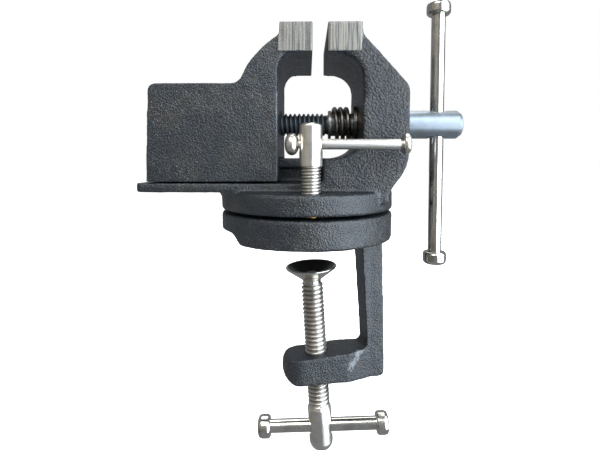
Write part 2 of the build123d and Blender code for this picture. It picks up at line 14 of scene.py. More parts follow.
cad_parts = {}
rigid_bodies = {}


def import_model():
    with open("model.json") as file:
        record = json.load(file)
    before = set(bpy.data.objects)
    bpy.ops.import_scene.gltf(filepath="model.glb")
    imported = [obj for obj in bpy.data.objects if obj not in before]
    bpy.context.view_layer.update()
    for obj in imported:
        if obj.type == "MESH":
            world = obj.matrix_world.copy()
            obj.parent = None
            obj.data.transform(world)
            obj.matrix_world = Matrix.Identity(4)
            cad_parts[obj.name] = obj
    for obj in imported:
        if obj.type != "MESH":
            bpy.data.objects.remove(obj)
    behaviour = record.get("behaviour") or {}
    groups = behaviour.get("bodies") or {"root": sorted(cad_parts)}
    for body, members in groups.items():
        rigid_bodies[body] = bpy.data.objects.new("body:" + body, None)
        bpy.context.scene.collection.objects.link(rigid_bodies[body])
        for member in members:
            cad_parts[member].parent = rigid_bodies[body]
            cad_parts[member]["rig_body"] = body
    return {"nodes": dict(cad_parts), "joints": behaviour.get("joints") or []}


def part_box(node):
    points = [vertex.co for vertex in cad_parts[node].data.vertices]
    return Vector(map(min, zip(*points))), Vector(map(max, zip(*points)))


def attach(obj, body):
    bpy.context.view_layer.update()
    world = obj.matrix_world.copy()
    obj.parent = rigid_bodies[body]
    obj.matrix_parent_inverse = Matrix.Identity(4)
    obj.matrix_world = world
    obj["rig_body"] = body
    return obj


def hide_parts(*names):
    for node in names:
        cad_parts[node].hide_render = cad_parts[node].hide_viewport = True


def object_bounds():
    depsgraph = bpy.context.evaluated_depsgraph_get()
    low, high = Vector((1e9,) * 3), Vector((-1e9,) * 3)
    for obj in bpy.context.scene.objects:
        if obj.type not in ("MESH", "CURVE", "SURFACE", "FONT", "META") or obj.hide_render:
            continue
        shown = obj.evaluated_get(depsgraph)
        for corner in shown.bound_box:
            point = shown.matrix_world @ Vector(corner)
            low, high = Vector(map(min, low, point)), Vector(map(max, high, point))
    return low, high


bl_info = {
    "name": "Clamp-on swivel vise",
    "version": (1, 0, 0),
    "blender": (4, 5, 0),
    "location": "View3D > Sidebar > Vise",
    "description": "Builds the castings, screws, bars and finishes of a small swivel vise",
    "category": "Add Mesh",
}

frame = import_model()
CAD_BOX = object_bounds()
JOINTS = {joint["name"]: joint for joint in frame["joints"]}
MM = 0.001
LATHE_STEPS = 72            # faces round a turned piece
THREAD_STEPS = 40           # faces round one turn of a thread


def along(origin, direction):
    """Place of a turned piece: local +Z runs along the direction, and lengths are in mm."""
    turn = Vector(direction).normalized().to_track_quat("Z", "Y").to_matrix().to_4x4()
    return Matrix.Translation(Vector(origin)) @ turn @ Matrix.Scale(MM, 4)


def centre(node):
    """Middle of a node's box."""
    low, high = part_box(node)
    return (low + high) / 2


# Axes of the turning groups, from the joints, and of the bars, from their own boxes.
LEAD = along(JOINTS["lead_screw_turn"]["pos_m"], JOINTS["lead_screw_turn"]["axis"])
LOCK = along(JOINTS["lock_turn"]["pos_m"], JOINTS["lock_turn"]["axis"])
CLAMP = along(JOINTS["clamp_turn"]["pos_m"], JOINTS["clamp_turn"]["axis"])
HANDLE = along(centre("handle_bar"), JOINTS["handle_slide"]["axis"])
LOCK_BAR = along((centre("lock_screw").x, centre("lock_bar").y, centre("lock_bar").z), (1, 0, 0))
CLAMP_BAR = along(centre("clamp_bar"), JOINTS["clamp_bar_slide"]["axis"])
PIVOT = along((0, 0, 0), (0, 0, 1))
JAW_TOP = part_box("jaw_base")[1].z
FIXED_FACE = 0.0083         # gripping faces of both jaws, at rest
SLIDING_FACE = 0.0023
THROAT_TOP = 0.064          # start of the gripping faces, above the throat
LAND_HEIGHT = 0.0125        # where the two discs bear on each other
LAND_RADIUS = 25.6          # in mm, of the ring that they bear on
CLEARANCE = 0.00002
LARGE = 1.15                # the largest casting has a wider grain
JAW_LOW = JAW_TOP - 0.0112  # lower edge of the ground jaw sides
MERGE = 0.0005              # in mm, for points that meet on an axis or a cut


# ---- sizes and colours a user would change ---------------------------------------------------
class ViseSizes(PropertyGroup):
    """Sizes of the castings' surface and the turned edges"""

    grain: FloatProperty(
        name="Casting grain", description="Mesh spacing of the three castings",
        default=0.00052, min=0.0003, unit="LENGTH", subtype="DISTANCE",
    )
    edge_rounds: IntProperty(
        name="Edge rounding", description="Passes that round the cast edges", default=12, min=0,
    )
    pebble: FloatProperty(
        name="Pebble width", description="Width of one pebble of the rough paint",
        default=0.0010, unit="LENGTH", subtype="DISTANCE",
    )
    pebble_depth: FloatProperty(
        name="Pebble depth", description="Depth of the dips between the pebbles",
        default=0.00014, unit="LENGTH", subtype="DISTANCE",
    )
    ripple: FloatProperty(
        name="Casting ripple", description="Depth of the broad hollows left by the sand mould",
        default=0.00035, unit="LENGTH", subtype="DISTANCE",
    )
    edge: FloatProperty(
        name="Turned edge", default=0.25,
        description="Width of the broken edges on turned pieces, in millimetres",
    )


class ViseColours(PropertyGroup):
    """Colours as sRGB hex values"""

    paint: StringProperty(name="Paint", description="Body colour of the enamel", default="#14181C")
    # painted highlight: the pebble-top colour is a lighter paint that stands in for glints of light
    painted_highlight: StringProperty(
        name="Paint highlights", description="Colour of the pebble tops", default="#45525D",
    )
    ground: StringProperty(
        name="Ground iron", description="Bare ground jaw sides", default="#716E67",
    )
    nickel: StringProperty(
        name="Nickel plate", description="Bars, lock and clamp screws", default="#DDD9D0",
    )
    zinc: StringProperty(
        name="Zinc plate", description="Head of the lead screw", default="#7F868A",
    )
    oiled: StringProperty(name="Oiled steel", description="Thread and spring", default="#9A9388")
    black: StringProperty(name="Blackened steel", description="Pivot bolt", default="#2A2A2B")
    brass: StringProperty(name="Brass", description="Nut and shoe", default="#B08D4A")
    floor: StringProperty(name="Floor", description="Studio floor", default="#FFFFFF")


# ---- node trees ------------------------------------------------------------------------------
SMOOTH = {"interpolation_type": "SMOOTHSTEP"}   # a Map Range node that turns smoothly from 0 to 1
COLOUR = {"data_type": "RGBA"}                  # a Mix node on colours, in its inputs 6 and 7


def linear(code):
    """sRGB hex value as linear RGBA."""
    parts = [int(code[i : i + 2], 16) / 255 for i in (1, 3, 5)]
    return [c / 12.92 if c <= 0.04045 else ((c + 0.055) / 1.055) ** 2.4 for c in parts] + [1.0]


def add(tree, kind, inputs=(), **settings):
    """Adds a node with its settings and links.

    Inputs come in the node's own order, or by name or number. A node given as an input is linked by
    its first output in use, a socket is linked as it is, and any other value is set."""
    node = tree.nodes.new(kind)
    for name, value in settings.items():
        setattr(node, name, value)
    for key, value in inputs.items() if isinstance(inputs, dict) else enumerate(inputs):
        if isinstance(value, bpy.types.Node):
            value = next(output for output in value.outputs if output.enabled)
        if isinstance(value, bpy.types.NodeSocket):
            tree.links.new(value, node.inputs[key])
        else:
            node.inputs[key].default_value = value
    return node


def scale_of(*widths):
    """Scale of a pattern from the width of its lumps or lines in mm: one number, or one an axis."""
    scales = [1 / (width * MM) for width in widths]
    return scales if len(scales) > 1 else scales[0]


def new_material(name):
    """Empty material, the add function for its tree, and its Object coordinates."""
    material = bpy.data.materials.new(name)
    material.use_nodes = True
    tree = material.node_tree
    tree.nodes.clear()
    put = partial(add, tree)
    return material, put, put("ShaderNodeTexCoord").outputs["Object"]


def strip(put, x, z, start, end, width):
    """1 within the width of a straight line in the XZ plane, and 0 away from it."""
    run = Vector(end) - Vector(start)
    length = run.length
    run.normalize()
    from_x = put("ShaderNodeMath", (x, start[0]), operation="SUBTRACT")
    from_z = put("ShaderNodeMath", (z, start[1]), operation="SUBTRACT")
    ahead_x = put("ShaderNodeMath", (from_x, run.x), operation="MULTIPLY")
    ahead_z = put("ShaderNodeMath", (from_z, run.y), operation="MULTIPLY")
    ahead = put("ShaderNodeMath", (ahead_x, ahead_z), operation="ADD")
    aside_x = put("ShaderNodeMath", (from_x, run.y), operation="MULTIPLY")
    aside_z = put("ShaderNodeMath", (from_z, run.x), operation="MULTIPLY")
    aside = put("ShaderNodeMath", (aside_x, aside_z), operation="SUBTRACT")
    distance = put("ShaderNodeMath", (aside,), operation="ABSOLUTE")
    far = put("ShaderNodeMapRange", (distance, width * 0.5, width), **SMOOTH)
    near = put("ShaderNodeMath", (1.0, far), operation="SUBTRACT")
    beside = put("ShaderNodeMath", (ahead, length / 2, length / 2), operation="COMPARE")
    return put("ShaderNodeMath", (near, beside), operation="MULTIPLY")


def shaded_pit(put, place, height):
    """1 at a small pit on the front of the box, and 0 round it: a spot painted near black as painted
    shade, with no hollow in the mesh.
    """
    away = put("ShaderNodeVectorMath", (place, (-0.0207, -0.0246, height)), operation="DISTANCE")
    clear = put("ShaderNodeMapRange", (away, 0.4 * MM, 0.9 * MM), **SMOOTH)
    return put("ShaderNodeMath", (1.0, clear), operation="SUBTRACT")


def enamel(colours):
    """Rough black stove enamel on sand-cast iron, with the jaw sides ground bare.

    It gives dark grey pebbles with soft bluish glints, which are painted highlights mixed into the
    colour of the pebble tops, and bright grey blocks with upright grinding lines. Chips at the foot of
    the leg show paler grey. A pale speckled streak along the upright edge of the box is a painted
    highlight, and two pits are painted near black as painted shade."""
    material, put, place = new_material("stove enamel on cast iron")
    x, y, z = put("ShaderNodeSeparateXYZ", (place,)).outputs
    side = put("ShaderNodeMath", (y,), operation="ABSOLUTE")

    # ground patches on both sides of both jaws: their ends lean, and their lower edge is ragged
    left_end, right_end, lean_ratio, ground_from = -0.0111, 0.0211, 0.12, 0.02455
    above = put("ShaderNodeMath", (z, JAW_LOW), operation="SUBTRACT")
    lean = put("ShaderNodeMath", (above, lean_ratio), operation="MULTIPLY")
    past_left = put("ShaderNodeMath", (x, left_end), operation="SUBTRACT")
    left_lean = put("ShaderNodeMath", (lean, 0.5), operation="MULTIPLY")
    left = put("ShaderNodeMath", (past_left, left_lean), operation="GREATER_THAN")
    past_right = put("ShaderNodeMath", (x, right_end), operation="SUBTRACT")
    right = put("ShaderNodeMath", (past_right, lean), operation="LESS_THAN")
    ragged = put("ShaderNodeTexNoise", {"Vector": place, "Scale": scale_of(1.6)})
    ragged = put("ShaderNodeMath", (ragged, 0.0005), operation="MULTIPLY")
    ragged = put("ShaderNodeMath", (z, ragged), operation="ADD")
    high = put("ShaderNodeMath", (ragged, JAW_LOW + 0.0003), operation="GREATER_THAN")
    outer = put("ShaderNodeMath", (side, ground_from), operation="GREATER_THAN")
    between = put("ShaderNodeMath", (left, right), operation="MULTIPLY")
    on_side = put("ShaderNodeMath", (high, outer), operation="MULTIPLY")
    ground = put("ShaderNodeMath", (between, on_side), operation="MULTIPLY")

    # pebbles: broad ones on the fixed jaw, fine ones elsewhere, and finer specks on both
    fixed_side = put("ShaderNodeMapRange", (x, 0.006, 0.024), **SMOOTH)
    over_disc = put("ShaderNodeMapRange", (z, 0.022, 0.027), **SMOOTH)
    jaw_zone = put("ShaderNodeMath", (fixed_side, over_disc), operation="MULTIPLY")
    pebbles = [
        put("ShaderNodeTexVoronoi", {"Vector": place, "Scale": scale_of(width)}, feature="SMOOTH_F1")
        for width in (0.62, 0.9)
    ]
    cells = put("ShaderNodeMix", {0: jaw_zone, 2: pebbles[0], 3: pebbles[1]}, data_type="FLOAT")
    specks = put(
        "ShaderNodeTexNoise",
        {"Vector": place, "Scale": scale_of(0.55), "Detail": 3.0, "Roughness": 0.65},
    )
    cloud = put(
        "ShaderNodeTexNoise",
        {"Vector": place, "Scale": scale_of(11), "Detail": 3.0, "Roughness": 0.55},
    )
    dips = put("ShaderNodeMapRange", (cells, 0.18, 0.62), **SMOOTH)
    tops = put("ShaderNodeMath", (1.0, dips), operation="SUBTRACT")
    # painted highlight: where the specks peak on the pebble tops, the colour is mixed toward the
    # highlight colour in place of glints of light
    bright = put("ShaderNodeMapRange", (specks, 0.52, 0.66), **SMOOTH)
    painted_glint = put("ShaderNodeMath", (tops, bright), operation="MULTIPLY")
    patchy = put("ShaderNodeMapRange", (cloud, 0.35, 0.65), **SMOOTH)
    patchy = put("ShaderNodeMath", (patchy, 0.35), operation="ADD")
    painted_glint = put("ShaderNodeMath", (painted_glint, patchy), operation="MULTIPLY")
    brownish = put("ShaderNodeMapRange", (cloud, 0.42, 0.64), **SMOOTH)
    body = put(
        "ShaderNodeMix", {0: brownish, 6: linear(colours.paint), 7: linear("#1C1B19")}, **COLOUR,
    )
    painted_glint = put("ShaderNodeMath", (painted_glint, 0.75), operation="MULTIPLY")
    paint = put("ShaderNodeMix", {0: painted_glint, 6: body, 7: linear(colours.painted_highlight)}, **COLOUR)

    # chips where the leg meets the arm, on their near side only: the clamp frame stands askew
    drawn_out = put("ShaderNodeMapping", {"Vector": place, "Scale": (1.0, 1.0, 0.5)})
    flakes = put(
        "ShaderNodeTexNoise",
        {"Vector": drawn_out, "Scale": scale_of(1.6), "Detail": 4.0, "Roughness": 0.7},
    )
    down_leg = strip(put, x, z, (0.0252, -0.0280), (0.0290, -0.0490), 0.0024)
    across_arm = strip(put, x, z, (0.0300, -0.0460), (0.0190, -0.0610), 0.0021)
    strips = put("ShaderNodeMath", (down_leg, across_arm), operation="MAXIMUM")
    slant = put("ShaderNodeMath", (x, math.tan(math.radians(12))), operation="MULTIPLY")
    flaked = put("ShaderNodeMapRange", (flakes, 0.40, 0.54), **SMOOTH)
    chip = put("ShaderNodeMath", (strips, flaked), operation="MULTIPLY")
    depth_in = put("ShaderNodeMath", (y, slant), operation="SUBTRACT")
    near_side = put("ShaderNodeMath", (depth_in, -0.006), operation="LESS_THAN")
    chip = put("ShaderNodeMath", (chip, near_side), operation="MULTIPLY")

    # scuffs here and there; a painted highlight along the upright edge of the box, speckled so that it
    # reads as wear; and two pits painted near black as painted shade
    scuff = put(
        "ShaderNodeTexNoise", {"Vector": place, "Scale": scale_of(4), "Detail": 5.0, "Roughness": 0.75},
    )
    scuff = put("ShaderNodeMapRange", (scuff, 0.67, 0.74), **SMOOTH)
    scuff = put("ShaderNodeMath", (scuff, 0.4), operation="MULTIPLY")
    # painted highlight: the corner mask lightens a thin upright streak on the upright edge of the box,
    # where light catches the edge
    corner = put("ShaderNodeMath", (x, -0.0115, 0.0004), operation="COMPARE")
    edge_highlight_height = put("ShaderNodeMath", (z, 0.0445, 0.0165), operation="COMPARE")
    corner = put("ShaderNodeMath", (corner, edge_highlight_height), operation="MULTIPLY")
    edge_highlight_side = put("ShaderNodeMath", (side, 0.0235), operation="GREATER_THAN")
    corner = put("ShaderNodeMath", (corner, edge_highlight_side), operation="MULTIPLY")
    speckled = put("ShaderNodeMapRange", (specks, 0.35, 0.6), **SMOOTH)
    corner = put("ShaderNodeMath", (corner, speckled), operation="MULTIPLY")
    wear_and_highlight = put("ShaderNodeMath", (chip, scuff), operation="MAXIMUM")
    corner = put("ShaderNodeMath", (corner, 0.6), operation="MULTIPLY")
    wear_and_highlight = put("ShaderNodeMath", (wear_and_highlight, corner), operation="MAXIMUM")
    paint = put("ShaderNodeMix", {0: wear_and_highlight, 6: paint, 7: linear("#5C6064")}, **COLOUR)
    # painted shade: two small spots painted near black stand in for pits
    pit_shade = (shaded_pit(put, place, 0.0487), shaded_pit(put, place, 0.0445))
    pit_shade = put("ShaderNodeMath", pit_shade, operation="MAXIMUM")
    paint = put("ShaderNodeMix", {0: pit_shade, 6: paint, 7: linear("#050505")}, **COLOUR)

    # upright grinding lines, drawn wider than real grit leaves them so that they show
    lines, strokes = (
        put("ShaderNodeTexNoise", {
            "Vector": put("ShaderNodeMapping", {"Vector": place, "Scale": scale_of(*widths)}),
            "Scale": 1.0, "Detail": 2.0, "Roughness": roughness,
        })
        for widths, roughness in (((0.40, 0.40, 20), 0.6), ((1.9, 1.9, 12), 0.5))
    )
    lines = put("ShaderNodeMath", (lines, 0.8), operation="MULTIPLY")
    strokes = put("ShaderNodeMath", (strokes, 0.2), operation="MULTIPLY")
    marks = put("ShaderNodeMath", (lines, strokes), operation="ADD")
    polished = put("ShaderNodeMapRange", (marks, 0.40, 0.56), **SMOOTH)
    bare = put(
        "ShaderNodeMix", {0: polished, 6: linear("#454543"), 7: linear(colours.ground)}, **COLOUR,
    )

    # relief: pebbles and specks on the paint, shallower off the fixed jaw, and lines on bare iron
    top_height = put("ShaderNodeMath", (tops, 0.5), operation="MULTIPLY")
    speck_height = put("ShaderNodeMath", (specks, 0.85), operation="MULTIPLY")
    height = put("ShaderNodeMath", (top_height, speck_height), operation="ADD")
    depth = put("ShaderNodeMix", {0: jaw_zone, 2: 0.42, 3: 1.0}, data_type="FLOAT")
    painted = put("ShaderNodeMath", (1.0, ground), operation="SUBTRACT")
    depth = put("ShaderNodeMath", (depth, painted), operation="MULTIPLY")
    height = put("ShaderNodeMath", (height, depth), operation="MULTIPLY")
    line_height = put("ShaderNodeMath", (marks, ground), operation="MULTIPLY")
    line_height = put("ShaderNodeMath", (line_height, 0.5), operation="MULTIPLY")
    height = put("ShaderNodeMath", (height, line_height), operation="ADD")
    bump = put("ShaderNodeBump", {"Height": height, "Strength": 1.0, "Distance": 0.48 * MM})
    roughness = put("ShaderNodeMath", (specks, 0.22), operation="MULTIPLY")
    roughness = put("ShaderNodeMath", (roughness, 0.27), operation="ADD")
    shader = put("ShaderNodeBsdfPrincipled", {
        "Base Color": put("ShaderNodeMix", {0: ground, 6: paint, 7: bare}, **COLOUR),
        "Metallic": put("ShaderNodeMath", (ground, 0.3), operation="MULTIPLY"),
        "Roughness": roughness, "IOR": 1.5, "Normal": bump,
    })
    put("ShaderNodeOutputMaterial", {"Surface": shader})
    return material


def plated(name, colour, tint, rough, line, grime_and_shade_weight, metallic=1.0):
    """Metal plate over turned steel. It gives sharp or soft glints that follow the turning marks.

    The grime_and_shade attribute, 0 to 1, mixes the colour toward near black: painted shade in the
    thread roots and on the inner side of the spring, oil on the lead screw's thread, and a darker
    inside to the pad's dish."""
    material, put, place = new_material(name)
    drawn = put("ShaderNodeMapping", {"Vector": place, "Scale": scale_of(*line)})
    marks = put(
        "ShaderNodeTexNoise", {"Vector": drawn, "Scale": 1.0, "Detail": 2.0, "Roughness": 0.6},
    )
    cloud = put(
        "ShaderNodeTexNoise", {"Vector": place, "Scale": scale_of(6), "Detail": 3.0, "Roughness": 0.6},
    )
    dirt_and_shade = put("ShaderNodeAttribute", attribute_name="grime_and_shade").outputs["Fac"]
    tinted = put("ShaderNodeMapRange", (cloud, 0.35, 0.7), **SMOOTH)
    base = put("ShaderNodeMix", {0: tinted, 6: linear(colour), 7: linear(tint)}, **COLOUR)
    darkened = put("ShaderNodeMath", (dirt_and_shade, grime_and_shade_weight), operation="MULTIPLY")
    # dirt and painted shade: where the attribute is high, the colour is mixed toward near black
    base = put("ShaderNodeMix", {0: darkened, 6: base, 7: linear("#14171B")}, **COLOUR)
    mark_rough = put("ShaderNodeMath", (marks, 0.12), operation="MULTIPLY")
    roughness = put("ShaderNodeMath", (mark_rough, rough), operation="ADD")
    darkened_rough = put("ShaderNodeMath", (dirt_and_shade, 0.2), operation="MULTIPLY")
    roughness = put("ShaderNodeMath", (roughness, darkened_rough), operation="ADD")
    bump = put("ShaderNodeBump", {"Height": marks, "Strength": 0.22, "Distance": 0.04 * MM})
    shader = put("ShaderNodeBsdfPrincipled", {
        "Base Color": base, "Metallic": metallic, "Roughness": roughness, "Normal": bump,
    })
    put("ShaderNodeOutputMaterial", {"Surface": shader})
    return material


def make_materials(colours):
    """The finishes, by the record's slot. Each is made once.

    Drawn and turned lines are finer than this on real bar, and are widened so that they show."""
    upright = (0.18, 0.18, 20)      # widths in mm along X, Y and Z: lines along an upright bar
    level = (20, 0.18, 0.18)        # lines along a level bar
    rings = (0.22, 20, 20)          # turning rings across a bar along X
    warm = "#C6C2BA"
    return {
        "painted_iron": enamel(colours),
        # bright nickel on drawn bar: mirror-like with faint draw lines and a warm cast
        "nickel_steel": plated("bright nickel plate", colours.nickel, warm, 0.09, upright, 0.85),
        "level_bar": plated("bright nickel plate, level", colours.nickel, warm, 0.14, level, 0.8),
        # satin nickel on the small lock parts: paler, with soft wide glints
        "satin_nickel": plated("satin nickel plate", "#E6E2DA", "#D2CDC2", 0.24, upright, 0.75),
        "satin_bar": plated("satin nickel plate, level", "#EFEDE7", "#DAD5CA", 0.30, level, 0.8),
        # zinc on turned steel: matte, bluish white, with fine rings
        "zinc_steel": plated("bluish zinc plate", colours.zinc, "#87919A", 0.33, rings, 0.85, 0.9),
        # plain steel wet with oil: dark, brown-grey, half glossy
        "oiled_steel": plated("oiled plain steel", colours.oiled, "#4A4640", 0.30, rings, 0.9),
        # black oxide: deep grey with a dull sheen
        "black_steel": plated("black oxide steel", colours.black, "#1B1B1C", 0.38, rings, 0.5),
        # machined brass: yellow, slightly dull
        "brass": plated("machined brass", colours.brass, "#8F713A", 0.28, rings, 0.6),
    }


MATERIALS = {}


# ---- mesh helpers ----------------------------------------------------------------------------
def turned(outline):
    """Turned shape, in mm, from (radius, height) points that start and end on the axis, or close."""
    bm = bmesh.new()
    points = [bm.verts.new((radius, 0, height)) for radius, height in outline]
    edges = [bm.edges.new(pair) for pair in zip(points, points[1:])]
    bmesh.ops.spin(
        bm, geom=points + edges, cent=(0, 0, 0), axis=(0, 0, 1), angle=math.tau, steps=LATHE_STEPS,
        use_merge=True,
    )
    bmesh.ops.remove_doubles(bm, verts=bm.verts, dist=MERGE)
    bmesh.ops.recalc_face_normals(bm, faces=bm.faces)
    return bm


def broken_edges(bm, width, angle=22):
    """Rounds every edge that turns by more than the angle."""
    limit = math.radians(angle)
    sharp = [e for e in bm.edges if len(e.link_faces) == 2 and e.calc_face_angle() > limit]
    bmesh.ops.bevel(
        bm, geom=sharp, offset=width, segments=3, profile=0.5, affect="EDGES", material=-1,
        clamp_overlap=True,
    )
    bmesh.ops.remove_doubles(bm, verts=bm.verts, dist=MERGE)
    return bm


def threaded(crest, pitch, depth, low, high):
    """Right-hand thread with closed flat ends. The profile has narrow crests and rounded roots."""
    # (part of the pitch, part of the depth) from one crest to the next
    profile = [
        (0.00, 0.0), (0.16, 0.0), (0.24, 0.10), (0.42, 0.72), (0.50, 0.94), (0.58, 1.0),
        (0.66, 0.94), (0.74, 0.72), (0.92, 0.10), (1.00, 0.0),
    ]
    turns = math.ceil((high - low) / pitch) + 2
    bm = bmesh.new()
    points = [
        bm.verts.new((crest - depth * dip, 0, low + (step - 1) * pitch)) for step, dip in profile
    ]
    edges = [bm.edges.new(pair) for pair in zip(points, points[1:])]
    bmesh.ops.spin(
        bm, geom=points + edges, cent=(0, 0, 0), axis=(0, 0, 1), dvec=(0, 0, pitch / THREAD_STEPS),
        angle=math.tau * turns, steps=THREAD_STEPS * turns,
    )
    bmesh.ops.remove_doubles(bm, verts=bm.verts, dist=4 * MERGE)
    for height, side in ((low, -1), (high, 1)):
        cut = bmesh.ops.bisect_plane(
            bm, geom=bm.verts[:] + bm.edges[:] + bm.faces[:], dist=MERGE,
            plane_co=(0, 0, height), plane_no=(0, 0, side), clear_outer=True,
        )["geom_cut"]
        rim = [item for item in cut if isinstance(item, bmesh.types.BMEdge)]
        bmesh.ops.edgeloop_fill(bm, edges=rim)
    bmesh.ops.recalc_face_normals(bm, faces=bm.faces)
    return bm


def run_out(bm, crest, low, high, length):
    """Tapers the thread at its free ends."""
    for vert in bm.verts:
        past = max(vert.co.z - (high - length), (low + length) - vert.co.z, 0)
        reach = math.hypot(vert.co.x, vert.co.y)
        if past > 0 and reach > crest - past:
            vert.co.xy *= (crest - past) / reach


def as_object(name, bm):
    """Object at the origin with the shape in its mesh."""
    mesh = bpy.data.meshes.new(name)
    bm.to_mesh(mesh)
    bm.free()
    item = bpy.data.objects.new(name, mesh)
    bpy.context.scene.collection.objects.link(item)
    return item


def apply_modifiers(item):
    """Makes the modifiers of the object permanent."""
    graph = bpy.context.evaluated_depsgraph_get()
    mesh = bpy.data.meshes.new_from_object(item.evaluated_get(graph))
    item.modifiers.clear()
    old = item.data
    item.data = mesh
    bpy.data.meshes.remove(old)


def combine(item, bm, place, operation):
    """Joins or cuts the object with another shape, which has its own place."""
    tool = as_object("tool", bm)
    tool.data.transform(place)
    step = item.modifiers.new("combine", "BOOLEAN")
    step.object = tool
    step.operation = operation
    step.solver = "EXACT"
    apply_modifiers(item)
    old = tool.data
    bpy.data.objects.remove(tool)
    bpy.data.meshes.remove(old)


def grime_and_shade(item, values):
    """Stores how much each vertex is darkened, 0 to 1; callers use it for oil, for painted shade and
    for the dark inside of the dish.
    """
    attribute = item.data.attributes.new("grime_and_shade", "FLOAT", "POINT")
    attribute.data.foreach_set("value", np.clip(np.asarray(values, np.float32), 0, 1))


def coordinates(mesh):
    """Vertex positions as an array of rows."""
    co = np.empty(len(mesh.vertices) * 3, np.float32)
    mesh.vertices.foreach_get("co", co)
    return co.reshape(-1, 3).astype(float)


def axial(co, place):
    """(distance from the axis, height along it) of a place, in mm, for points in metres."""
    local = np.c_[co, np.ones(len(co))] @ np.array(place.inverted()).T
    return np.hypot(local[:, 0], local[:, 1]), local[:, 2]


def settle(item, slot, *nodes, smooth_angle=30, finish=None):
    """Gives a finished piece its material and its body, and hides the nodes that it stands for."""
    mesh = item.data
    mesh.materials.clear()
    mesh.materials.append(MATERIALS[finish or slot])
    mesh.shade_smooth()
    mesh.validate()
    if smooth_angle:
        mesh.set_sharp_from_angle(angle=math.radians(smooth_angle))
        even = item.modifiers.new("crisp highlights", "WEIGHTED_NORMAL")
        even.keep_sharp = True
    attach(item, frame["nodes"][nodes[0]]["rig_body"])
    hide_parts(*nodes)
    return item


def turned_piece(name, node, slot, outline, place, edge, finish=None):
    """A turned piece with broken edges that stands for one node."""
    item = as_object(name, broken_edges(turned(outline), edge))
    item.data.transform(place)
    return settle(item, slot, node, finish=finish)


# ---- castings --------------------------------------------------------------------------------
def in_box(co, low, high):
    """Which points are inside a box given in mm."""
    return np.all((co > np.array(low) * MM) & (co < np.array(high) * MM), axis=1)


def round_axis(co, place, radius, low=-math.inf, high=math.inf):
    """Which points are inside a cylinder round the axis of a place, in mm."""
    reach, height = axial(co, place)
    return (reach < radius) & (height > low) & (height < high)


def cast(name, node, grain, sizes, machined, coarse=None, true_up=None):
    """Casting from a merged copy of its node: even mesh, rounded edges, hollows and pebbles.

    The machined places keep their exact shape. All hollows go inwards, so the size stays."""
    bm = bmesh.new()
    bm.from_mesh(frame["nodes"][node].data)
    bmesh.ops.remove_doubles(bm, verts=bm.verts, dist=1e-6)
    item = as_object(name, bm)
    even = item.modifiers.new("even", "REMESH")
    even.mode = "VOXEL"
    even.voxel_size = grain
    apply_modifiers(item)

    co = coordinates(item.data)
    free = ~machined(co)
    rough = free if coarse is None else free & coarse(co)
    for group, members in (("cast", free), ("pebbled", rough), ("soft", free & jaw_roots(co))):
        members = np.flatnonzero(members).tolist()
        item.vertex_groups.new(name=group).add(members, 1.0, "REPLACE")
    for group, passes in (("cast", sizes.edge_rounds), ("soft", 5 * sizes.edge_rounds)):
        smooth = item.modifiers.new("rounded " + group, "SMOOTH")
        smooth.factor = 0.5
        smooth.iterations = passes
        smooth.vertex_group = group
    for group, kind, width, depth in (
        ("cast", "CLOUDS", 7 * MM, sizes.ripple),
        ("pebbled", "VORONOI", sizes.pebble, sizes.pebble_depth),
    ):
        texture = bpy.data.textures.new(name + " " + group, kind)
        texture.noise_scale = width
        dips = item.modifiers.new(group, "DISPLACE")
        dips.texture = texture
        dips.texture_coords = "LOCAL"
        dips.vertex_group = group
        dips.strength = depth
        dips.mid_level = 1.0
    apply_modifiers(item)
    if true_up:
        co = coordinates(item.data)
        true_up(co)
        item.data.vertices.foreach_set("co", co.astype(np.float32).ravel())
    return settle(item, "painted_iron", node, smooth_angle=0)


def ground_sides(co):
    """The ground jaw sides, the jaw tops and the gripping faces."""
    x, y, z = co[:, 0], np.abs(co[:, 1]), co[:, 2]
    jaws = (z > JAW_LOW - 0.0004) & (x > -0.0112) & (x < 0.0217)
    sides = y > 0.0242
    tops = z > JAW_TOP - 0.0007
    faces = (x > SLIDING_FACE - 0.0007) & (x < FIXED_FACE + 0.0007)
    return jaws & (sides | tops | faces)


def jaw_roots(co):
    """The places just under the ground jaw sides, where the castings have large soft edges."""
    x, y, z = co[:, 0], np.abs(co[:, 1]), co[:, 2]
    height = (z > 0.0575) & (z < JAW_LOW - 0.0006)
    return height & (y > 0.019) & (x > -0.0106) & (x < 0.026)


class VISE_OT_clamp_frame(Operator):
    """Lower disc, leg and arm in one casting"""

    bl_idname = "vise.clamp_frame"
    bl_label = "Clamp frame casting"

    def execute(self, context):
        def machined(co):
            screw_hole = round_axis(co, CLAMP, 5.6, -70, -50)
            pivot_hole = round_axis(co, PIVOT, 5.0, 3, 13)
            land = round_axis(co, PIVOT, LAND_RADIUS, 12.0, 13)
            return screw_hole | pivot_hole | land

        def true_up(co):
            co[:, 2] = np.minimum(co[:, 2], LAND_HEIGHT - CLEARANCE)

        sizes = context.scene.vise_sizes
        cast("frame_casting", "clamp_frame", sizes.grain, sizes, machined, true_up=true_up)
        return {"FINISHED"}


